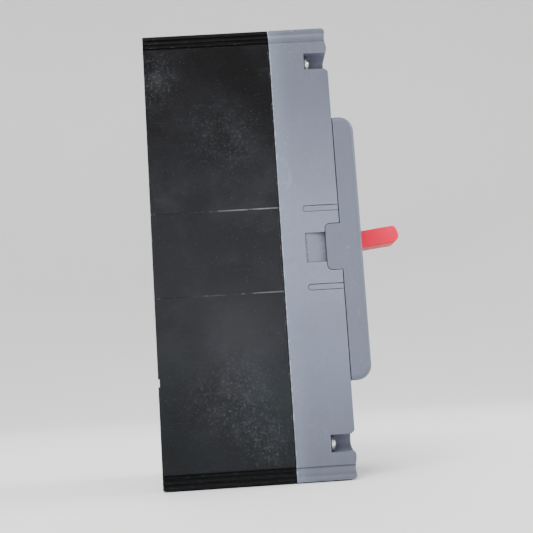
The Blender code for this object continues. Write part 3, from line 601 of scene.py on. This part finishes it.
def make_base(made):
    """The case: chambers, posts, bores and wire doors, then bands, seams and moulding marks."""
    above = BASE_FRONT + 5
    outline = rounded((-HALF_WIDTH, -HALF_HEIGHT), (HALF_WIDTH, HALF_HEIGHT), 0.8, 4)
    base = prism("base_shell", outline, 0, BASE_FRONT, "depth")
    cut = []
    for x in ((-INTERPHASE[0], INTERPHASE[0]), (INTERPHASE[1], INSIDE), (-INSIDE, -INTERPHASE[1])):
        cut.append(box("pole_chamber", x, (CHAMBER_FLOOR, above), (-TERMINAL_WALL[0], TERMINAL_WALL[0])))
        cut.append(box("pole_floor", x, (4, CHAMBER_FLOOR + 1), (-36, 38)))
        for end in SIDES:
            cut.append(box("terminal_chamber", x, (CHAMBER_FLOOR, above),
                           towards(end, TERMINAL_WALL[1], HALF_HEIGHT - 4)))
    for x in POLES:
        for end in SIDES:
            cut.append(box("strap_slot", (x - 8.6, x + 8.6), (CHAMBER_FLOOR, 12.6),
                           towards(end, TERMINAL_WALL[0] - 1, TERMINAL_WALL[1] + 1)))
            door = rounded((x - 9.5, CHAMBER_FLOOR), (x + 9.5, 38), 1.2, 5)
            cut.append(prism("wire_door", door, *towards(end, HALF_HEIGHT - 5, HALF_HEIGHT + 1), "z"))
    for side in SIDES:
        across = towards(side, INTERPHASE[0] - 0.5, INTERPHASE[1] + 0.5)
        cut.append(box("crossbar_notch", across, (17, above), (-21, 1.5)))
        cut.append(box("trip_notch", across, (20, above), (-90, -36)))
    shaped(base, cut=cut)
    join, cut = [], []
    for side in SIDES:
        for end in SIDES:
            spot = (side * MOUNT_SCREW[0], end * MOUNT_SCREW[1])
            join.append(rod("mount_post", spot, 5, 5, BASE_FRONT, "depth"))
            cut.append(rod("mount_bore", spot, MOUNT_BORE_RADIUS, -1, above, "depth"))
            join.append(box("corner_post", towards(side, 46.8, INSIDE + 1), (5, BASE_FRONT),
                            towards(end, TERMINAL_WALL[1], 107.3)))
            spot = (side * COVER_SCREW[0], end * COVER_SCREW[1])
            cut.append(rod("thread_bore", spot, COVER_SCREW_BORE_RADIUS, 44, above, "depth"))
            middle = side * MOUNT_SCREW[0]
            cut.append(box("barrier_groove", (middle - 1, middle + 1), (-1, above),
                           towards(end, HALF_HEIGHT - 3, HALF_HEIGHT + 1)))
    cut.append(box("back_groove", (-HALF_WIDTH - 1, HALF_WIDTH + 1), (-1, 0.8), (-67.9, -63.9)))
    shaped(base, join, cut)
    round_edges(base, 0.3, 2)
    cut = [band_cutter(SIDE_BAND, side, end, -1, above) for side in SIDES for end in SIDES]
    for side in SIDES:
        bottom = side * (HALF_WIDTH - 0.18)
        mouth = side * (HALF_WIDTH + 0.5)
        for seam in (-SEAM_Z, SEAM_Z):
            groove = [(bottom, seam), (mouth, seam + 0.3), (mouth, seam - 0.3)]
            cut.append(prism("seam", groove, -1, above, "depth"))
    for x in (-38, 0, 38):
        for z in (-88, -30, 30, 80):
            cut.append(rod("ejector_mark", (x, z), 3.2, -1, 0.12, "depth"))
    shaped(base, cut=cut)
    return dress(base, made, "root", ["base"], 30)


# ---------------------------------------------------------------- main cover
FRONT_PROFILE = (
    # |z| and how far the front lies behind COVER_FRONT: a soft step down, a bulge, a waist and the end bead
    (95.2, 0.1), (95.8, 0.14), (96.25, 0.3), (96.6, 0.58), (96.85, 0.95), (97.0, 1.3), (97.1, 1.42),
    (97.25, 1.5),
    (103.5, 1.5), (105.0, 1.2), (107.4, 0.35), (108.4, 0.1), (109.6, 0.05), (111.2, 0.3), (112.8, 0.7),
    (114.4, 0.85), (116.0, 0.8), (117.4, 0.55),
)
COVER_BAND = (
    # |z| and how deep the side lies: a soft step, a shallow roll and a second soft groove
    (112.9, 0.0), (113.05, 0.5), (113.3, 0.8), (113.8, 0.78), (114.8, 0.42), (115.8, 0.26), (116.6, 0.3),
    (117.2, 0.55), (117.7, 0.66), (118.2, 0.55), (118.8, 0.25), (119.4, 0.15), (121.5, 0.15),
)


def make_main_cover(made):
    """A shell with ribs and bosses, screw pockets, lug holes and vents, and its sides' bands and recesses."""
    hollow_end = HALF_HEIGHT - 3.5
    above, below = COVER_FRONT + 2, COVER_BACK - 1
    rib_front = 97
    edge_radius = 2.1
    corner = (HALF_HEIGHT - edge_radius, COVER_FRONT - 0.45 - edge_radius)
    half = [(z, COVER_FRONT - drop) for z, drop in FRONT_PROFILE] + arc(corner, edge_radius, 80, 0, 6)
    outline = ([(HALF_HEIGHT, COVER_BACK), (-HALF_HEIGHT, COVER_BACK)]
               + [(-z, depth) for z, depth in reversed(half)] + half)
    cover = prism("main_cover_shell", outline, -HALF_WIDTH, HALF_WIDTH, "x")
    hollow = box("hollow", (-INSIDE, INSIDE), (below, COVER_FRONT - 3.5), (-hollow_end, hollow_end))
    shaped(cover, cut=[hollow])
    join, cut = [], [box("window", (-19, 19), (90, above), (-40, 40))]
    for side in SIDES:
        rib = towards(side, *INTERPHASE)
        join.append(box("rib", rib, (COVER_BACK, rib_front), (42, hollow_end + 1)))
        join.append(box("rib", rib, (COVER_BACK, rib_front), (-hollow_end - 1, -92)))
        join.append(box("tab_pad", towards(side, 51.5, INSIDE + 1), (85, rib_front), (-16, 16)))
        reach = TAB_HALF_HEIGHT + GAP
        pocket = rounded((-reach, TAB_BACK - GAP), (reach, above + 6), 2.8, 6)
        cut.append(prism("tab_pocket", pocket, *towards(side, HALF_WIDTH - 2.3, 60), "x"))
        for end in SIDES:
            spot = (side * MOUNT_SCREW[0], end * MOUNT_SCREW[1])
            join.append(rod("mount_boss", spot, 7, COVER_BACK, rib_front, "depth"))
            cut.append(rod("mount_bore", spot, MOUNT_BORE_RADIUS, below, above, "depth"))
            cut.append(rod("mount_seat", spot, 5.25, 85, above, "depth"))
            join.append(box("corner_block", towards(side, 45.5, INSIDE + 1), (COVER_BACK, rib_front),
                            towards(end, 95, 109)))
            spot = (side * COVER_SCREW[0], end * COVER_SCREW[1])
            cut.append(prism("screw_pocket", screw_channel(side, spot), SCREW_SEAT, above, "depth"))
            cut.append(rod("screw_bore", spot, COVER_SCREW_BORE_RADIUS, below, SCREW_SEAT + 1, "depth"))
    for x in POLES:
        for end in SIDES:
            cut.append(rod("lug_access", (x, end * LUG_SCREW_Z), 4.75, 90, above, "depth"))
        for vent in (-7, 0, 7):
            slot = rounded((x + vent - 1.5, 72), (x + vent + 1.5, 88), 1.45, 5)
            cut.append(prism("vent", slot, hollow_end - 1, HALF_HEIGHT + 1, "z"))
    cut.append(rod("button_hole", TRIP_BUTTON, 3.5, 90, above, "depth"))
    cut.append(rod("dial_hole", DIAL, 3.4, 90, above, "depth"))
    shaped(cover, join, cut)
    round_edges(cover, 0.25, 2, 60)
    bands = [band_cutter(COVER_BAND, side, end, COVER_BACK - 2, above) for side in SIDES for end in SIDES]
    shaped(cover, cut=[merged("side_cutters", side_recesses() + bands)])
    return dress(cover, made, "root", ["main_cover"], 28)


def screw_channel(side, spot):
    """Outline of a screw pocket: half round towards the middle, open through the side face."""
    start = side * 90
    outside = side * (HALF_WIDTH + 3)
    rise = side * SCREW_POCKET_RADIUS
    mouth = [(outside, spot[1] - rise), (outside, spot[1] + rise)]
    return arc(spot, SCREW_POCKET_RADIUS, start, start + 180, 24) + mouth


def side_recesses():
    """The pry recess behind each tab, and two finger grooves on each side with a moat round their floor."""
    cut = []
    ramp = ((-1, 80.8), (0.45, 80.95), (0.75, 84), (1.7, 89.5), (2.2, 92.3), (-1, 92.3))
    for side in SIDES:
        wedge = [(side * (HALF_WIDTH - inset), depth) for inset, depth in ramp]
        cut.append(prism("pry_recess", wedge, -8, 8, "z"))
        for end in SIDES:
            low, high = towards(side, HALF_WIDTH - 0.85, HALF_WIDTH + 1)
            groove = prism("finger_groove", groove_outline(end * 21, 1.75), low, high, "x")
            low, high = towards(side, HALF_WIDTH - 2, HALF_WIDTH - 0.4)
            island = prism("island", groove_outline(end * 21, 1.35), low, high, "x")
            cut.append(shaped(groove, cut=[island]))
    return cut


def groove_outline(z, half_width):
    """(z, depth) outline of a round-ended groove that runs out through the front."""
    outline = arc((z, 82.25), half_width, 180, 360, 12)
    return outline + [(z + half_width, COVER_FRONT + 2), (z - half_width, COVER_FRONT + 2)]


# ---------------------------------------------------------------- accessory cover
def make_accessory_cover(made):
    """A rounded shell with side tabs, the handle's slot, well and bezel, and a blank label recess."""
    half = RAISED_HALF_HEIGHT
    wall = 2.5
    below = RAISED_BACK - 30
    body = rounded((-half, below), (half, RAISED_FRONT), 8, 12)
    cover = prism("accessory_cover_shell", body, -HALF_WIDTH, HALF_WIDTH, "x")
    round_edges(cover, 3.0, 6)
    hollow = prism("hollow", rounded((-half + wall, below), (half - wall, RAISED_FRONT - wall), 8 - wall),
                   -HALF_WIDTH + wall, HALF_WIDTH - wall, "x")
    shaped(cover, cut=[box("below", (-70, 70), (RAISED_BACK - 40, RAISED_BACK), (-90, 90)), hollow])
    middle = HANDLE_PIVOT[0]
    join = [box("handle_well", (-10.8, 10.8), (90, RAISED_FRONT - 1), (middle - 28.5, middle + 28.5)),
            rod("button_tube", TRIP_BUTTON, 5.2, 101.5, RAISED_FRONT - 1, "depth"),
            prism("bezel", bezel_outline(0, 2.2), RAISED_FRONT - 1, RAISED_FRONT, "depth")]
    for side in SIDES:
        tab = rounded((-TAB_HALF_HEIGHT, TAB_BACK), (TAB_HALF_HEIGHT, 104), 2.5, 6)
        join.append(prism("tab", tab, *towards(side, HALF_WIDTH - 2, HALF_WIDTH), "x"))
    groove = prism("bezel_groove", bezel_outline(BEZEL_GROOVE, 3), RAISED_FRONT - 0.5, RAISED_FRONT + 1,
                   "depth")
    shaped(groove, cut=[prism("inside", bezel_outline(0, 2.2), RAISED_FRONT - 1, RAISED_FRONT + 2, "depth")])
    cut = [rod("shield_sweep", HANDLE_PIVOT, SHIELD_RADII[1] + 0.8, -12, 12, "x", 160),
           prism("handle_slot", rounded((-9.2, middle - 26.9), (9.2, middle + 26.9), 1.2), 80,
                 RAISED_FRONT + 1, "depth"),
           rod("button_hole", TRIP_BUTTON, 3.4, 90, RAISED_FRONT + 1, "depth"),
           rod("dial_hole", DIAL, 5.9, 90, RAISED_FRONT + 1, "depth"),
           prism("label_recess", rounded((-30, 36), (30, 62), 1.5), RAISED_FRONT - 0.5, RAISED_FRONT + 1,
                 "depth"),
           groove]
    shaped(cover, join, cut)
    round_edges(cover, 0.2, 2, 50)
    return dress(cover, made, "root", ["accessory_cover"], 30)


def bezel_outline(margin, radius):
    """The bezel round the handle slot, grown by a margin."""
    middle = HANDLE_PIVOT[0]
    across, up = BEZEL[0] + margin, BEZEL[1] + margin
    return rounded((-across, middle - up), (across, middle + up), radius)


def make_marks(made):
    """A raised bar and ring beside the handle, and the dial's tick marks."""
    foot, top = RAISED_FRONT - 0.2, RAISED_FRONT + 0.15
    on_spot = (17.8, HANDLE_PIVOT[0] + 20.5)
    off_spot = (17.8, HANDLE_PIVOT[0] - 20.5)
    bar = rounded((on_spot[0] - 0.6, on_spot[1] - 3.5), (on_spot[0] + 0.6, on_spot[1] + 3.5), 0.3, 2)
    dress(prism("mark_on", bar, foot, top, "depth"), made, "root")
    off = rod("mark_off", off_spot, 3.4, foot, top, "depth")
    shaped(off, cut=[rod("inside", off_spot, 2.3, RAISED_FRONT - 1, top + 1, "depth")])
    dress(off, made, "root")
    for number in range(7):
        angle = 225 - 45 * number
        inner, outer = polar(DIAL, 7.2, angle), polar(DIAL, 9.2, angle)
        outline = [polar(inner, 0.25, angle - 90), polar(outer, 0.25, angle - 90),
                   polar(outer, 0.25, angle + 90), polar(inner, 0.25, angle + 90)]
        tick = prism(f"dial_tick_{number}", outline, foot, RAISED_FRONT + 0.1, "depth")
        dress(tick, made, "root")


# ---------------------------------------------------------------- handle
def make_handle(made):
    """A flat grip with soft edges and a blunt slanted tip, on its foot inside the shield."""
    corners = ((-5.1, 61.5, 0), (-5.2, 101.2, 4.6), (4.9, 98.7, 2.8), (4.95, 61.5, 0))
    outline = [on_handle(u, v) for u, v in soft_polygon(corners)]
    grip = prism("handle_grip", outline, -HANDLE_HALF_WIDTH, HANDLE_HALF_WIDTH, "x")
    round_edges(grip, 1.2, 4, 60)
    foot = prism("foot", [on_handle(u, v) for u, v in ((-8, 56.3), (8, 56.3), (8, 61.9), (-8, 61.9))],
                 -11, 11, "x")
    round_edges(foot, 0.5, 2)
    shaped(grip, [foot])
    return dress(grip, made, "handle_assembly", ["handle"], 50)


def make_shield(made):
    """The curved strip that closes the slot behind the handle as it swings."""
    inner, outer = SHIELD_RADII
    half_angle = 41
    start, end = 90 - HANDLE_REST - half_angle, 90 - HANDLE_REST + half_angle
    outline = arc(HANDLE_PIVOT, outer, start, end, 72) + arc(HANDLE_PIVOT, inner, end, start, 72)
    shield = prism("handle_shield_arc", outline, -12.6, 12.6, "x")
    hole = [on_handle(u, v) for u, v in ((-5.8, 55), (5.8, 55), (5.8, 70), (-5.8, 70))]
    hole_half_width = HANDLE_HALF_WIDTH + 0.4
    shaped(shield, cut=[prism("hole", hole, -hole_half_width, hole_half_width, "x")])
    round_edges(shield, 0.3, 2, 60)
    return dress(shield, made, "handle_assembly", ["handle_shield"], 40)


# ---------------------------------------------------------------- fasteners and fittings
def make_cover_screw(number, made):
    """Pan head with a cross recess and a threaded shank."""
    x_range, depth_range, z_range = room(f"cover_screw_{number}")
    spot = (sum(x_range) / 2, sum(z_range) / 2)
    seat = depth_range[1] - 2.8
    thread = []
    for i in range(30):
        depth = depth_range[0] + 1 + i * 0.8
        thread += [(1.55, depth), (2.0, depth + 0.4)]
    head_radius, head_rise = 3.9, 2.4
    dome = [(head_radius * math.cos(k * 0.14), seat + 0.4 + head_rise * math.sin(k * 0.14))
            for k in range(12)]
    profile = [(0.8, depth_range[0]), *thread, (1.8, depth_range[0] + 25.5), (1.8, seat), (3.6, seat), *dome]
    screw = lathe(f"cover_screw_pan_head_{number}", spot, profile)
    x, z = spot
    top = seat + 4
    cross = [prism("arm", rounded((x - 2.1, z - 0.5), (x + 2.1, z + 0.5), 0.3, 3), seat + 0.9, top, "depth"),
             prism("arm", rounded((x - 0.5, z - 2.1), (x + 0.5, z + 2.1), 0.3, 3), seat + 0.9, top, "depth")]
    shaped(screw, cut=cross)
    return dress(screw, made, "root", [f"cover_screw_{number}"], 35)


def make_lug(end, pole, block_metal, screw_metal):
    """The lug's block with its wire way and serrated floor, and its socket-head setscrew."""
    node = f"{end}_lug_{pole}"
    x_range, depth_range, z_range = room(node)
    outline = rounded((x_range[0], depth_range[0]), (x_range[1], depth_range[1]), 2.2, 6)
    block = prism(f"{end}_lug_block_{pole}", outline, *z_range, "z")
    x = sum(x_range) / 2
    way, way_radius = (x, WIRE_WAY[0]), WIRE_WAY[1]
    low, high = z_range[0] - 1, z_range[1] + 1
    screw_z = ENDS[end] * LUG_SCREW_Z
    shaped(block, cut=[rod("wire_way", way, way_radius, low, high, "z"),
                       rod("thread", (x, screw_z), LUG_THREAD_RADIUS, 22, 37, "depth")])
    round_edges(block, 0.45, 3)
    serration = [rod("serration", polar(way, way_radius, -90 + 14 * k), 0.35, low, high, "z", 8)
                 for k in range(-2, 3)]
    shaped(block, cut=serration)
    dress(block, block_metal, "root", [node], 35)

    node = f"{end}_lug_screw_{pole}"
    low, high = room(node)[1]
    profile = [(3.0, low), (3.9, low + 0.9)]
    depth = low + 1.2
    while depth < high - 1.6:
        profile += [(3.5, depth), (3.95, depth + 0.45)]
        depth += 0.9
    profile += [(3.95, high - 0.5), (3.5, high)]
    screw = lathe(f"{end}_lug_setscrew_{pole}", (x, screw_z), profile)
    shaped(screw, cut=[rod("socket", (x, screw_z), 2.6, high - 4, high + 1, "depth", 6)])
    return dress(screw, screw_metal, "root", [node], 35)


def make_trip_button(made):
    """A dished cap on a thin stem."""
    low, high = room("trip_button")[1]
    radius, edge = 3, 0.9
    profile = [(1.2, low), (1.2, 77), (radius, 77), (radius, high - edge)]
    profile += [(radius - edge + edge * math.cos(a), high - edge + edge * math.sin(a))
                for a in (0.4, 0.8, 1.2, 1.5)]
    profile += [(1.5, high + 0.02), (1.3, high - 0.25), (0.5, high - 0.4)]
    button = lathe("trip_button_cap", TRIP_BUTTON, profile)
    return dress(button, made, "trip_button_body", ["trip_button"], 40)


def make_dial(made):
    """A small knob with a pointed screwdriver slot."""
    low, high = room("adjustment_dial")[1]
    rim = high - 1.2
    profile = [(3, low), (3, 103), (5.1, 103), (5.5, 103.4), (5.5, rim), (5.3, high - 0.35), (4.7, high),
               (3.9, high), (3.7, high - 0.35), (1.0, high - 0.35)]
    dial = lathe("dial_knob", DIAL, profile, 60)
    x, z = DIAL
    slot = [(x - 0.7, z - 3.2), (x + 0.7, z - 3.2), (x + 0.7, z + 3.6), (x, z + 4.9), (x - 0.7, z + 3.6)]
    shaped(dial, cut=[prism("slot", slot, high - 1.7, high + 1, "depth")])
    return dress(dial, made, "adjustment_dial_body", ["adjustment_dial"], 35)


# ---------------------------------------------------------------- stage, lights and camera, in metres
FLOOR_GAP = 0.0006
LIGHT_SIZE = 0.9
LIGHTS = (
    # name, place, power in watts
    ("key", (-0.95, 0.25, 1.15), 27),
    ("front_fill", (0.15, -1.3, 0.8), 15),
    ("back_fill", (0.0, 1.2, 0.9), 6),
    ("far_fill", (1.1, 0.1, 1.1), 12),
)
CAMERA_PLACE = (-0.52774, -0.04577, -0.07208)
CAMERA_RIGHT = (-0.02066923, -0.99780062, -0.06298185)
CAMERA_UP = (-0.1349985, -0.05963302, 0.9890497)
SENSOR_WIDTH = 36.0
FOCAL_LENGTH = 61.13


def make_stage(made):
    """A pale round floor that sweeps up to a distant wall."""
    floor_z = CAD_BOX[0].z - FLOOR_GAP
    sweep = arc((1.3, 0.9), 0.9, -80, 0, 9)
    profile = [(0.02, 0.0), (0.6, 0.0), (1.3, 0.0), *sweep, (2.2, 2.4)]
    rings = [[(x, y, floor_z + height) for x, y in circle((0, 0), radius, 96)] for radius, height in profile]
    floor = loft("pale_floor", rings, open_end=True)
    floor.data.materials.append(made)
    floor.data.shade_smooth()


def make_light(name, spot, power):
    """A soft round lamp aimed at the middle of the object's back."""
    lamp = bpy.data.lights.new(name, "AREA")
    lamp.shape = "DISK"
    lamp.size = LIGHT_SIZE
    lamp.energy = power
    light = bpy.data.objects.new(name, lamp)
    light.location = spot
    light.rotation_mode = "QUATERNION"
    light.rotation_quaternion = (-Vector(spot)).to_track_quat("-Z", "Y")
    bpy.context.scene.collection.objects.link(light)


def make_world():
    world = bpy.data.worlds.new("studio")
    world.use_nodes = True
    shade = world.node_tree.nodes["Background"]
    shade.inputs["Color"].default_value = rgba(1.0, 1.0, 1.0)
    shade.inputs["Strength"].default_value = 0.5
    bpy.context.scene.world = world


def make_camera():
    """At the breaker's left side, a little below its middle, rolled slightly."""
    right, up = Vector(CAMERA_RIGHT), Vector(CAMERA_UP)
    turn = Matrix((right, up, right.cross(up))).transposed().to_4x4()
    lens = bpy.data.cameras.new("side_view")
    lens.sensor_width = SENSOR_WIDTH
    lens.lens = FOCAL_LENGTH
    lens.clip_start = 0.01
    camera = bpy.data.objects.new("side_view", lens)
    camera.matrix_world = Matrix.Translation(CAMERA_PLACE) @ turn
    bpy.context.scene.collection.objects.link(camera)
    bpy.context.scene.camera = camera


# ---------------------------------------------------------------- assembly
def make_materials():
    return {
        "black_thermoset": black_thermoset(),
        "main_grey": grey_plastic("main_grey", 0.81, 0.16, 0.41),
        "raised_grey": grey_plastic("raised_grey", 0.56, 0.06, 0.18),
        "handle_plastic": handle_plastic(),
        "shield_plastic": dark_plastic("shield_plastic", (0.012, 0.012, 0.014), (0.03, 0.03, 0.033)),
        "button_plastic": dark_plastic("button_plastic", (0.72, 0.13, 0.02), (0.85, 0.2, 0.04)),
        "dark_molding": dark_plastic("dark_molding", (0.05, 0.025, 0.018), (0.1, 0.055, 0.04), 0.5),
        "zinc_steel": metal("zinc_steel", (0.66, 0.66, 0.64), (0.88, 0.88, 0.86), 0.13, 140.0),
        "copper": metal("copper", (0.72, 0.36, 0.22), (0.86, 0.5, 0.34), 0.24, 90.0, (1, 0.1, 0.1)),
        "lug_aluminium": metal("lug_aluminium", (0.66, 0.66, 0.67), (0.8, 0.8, 0.81), 0.3, 110.0,
                               (1, 1, 0.08)),
        "pale_fibre": pale_fibre(),
    }


def paint_cad_nodes(made):
    """Every CAD node keeps its shape and takes the material of its slot."""
    by_slot = dict(made, base_thermoset=made["black_thermoset"], cover_plastic=made["main_grey"])
    for part in frame["record"]["subparts"]:
        node = frame["nodes"][part["node"]]
        node.data.materials.clear()
        node.data.materials.append(by_slot[part["material_slot"]])


def make_scene():
    made = make_materials()
    paint_cad_nodes(made)
    make_base(made["black_thermoset"])
    make_main_cover(made["main_grey"])
    make_accessory_cover(made["raised_grey"])
    make_marks(white_ink())
    make_handle(made["handle_plastic"])
    make_shield(made["shield_plastic"])
    for number in range(1, 5):
        make_cover_screw(number, made["zinc_steel"])
    for end in ENDS:
        for pole in "abc":
            make_lug(end, pole, made["lug_aluminium"], made["zinc_steel"])
    make_trip_button(made["button_plastic"])
    make_dial(made["shield_plastic"])
    make_stage(pale_stage())
    make_world()
    for name, spot, power in LIGHTS:
        make_light(name, spot, power)
    make_camera()


make_scene()
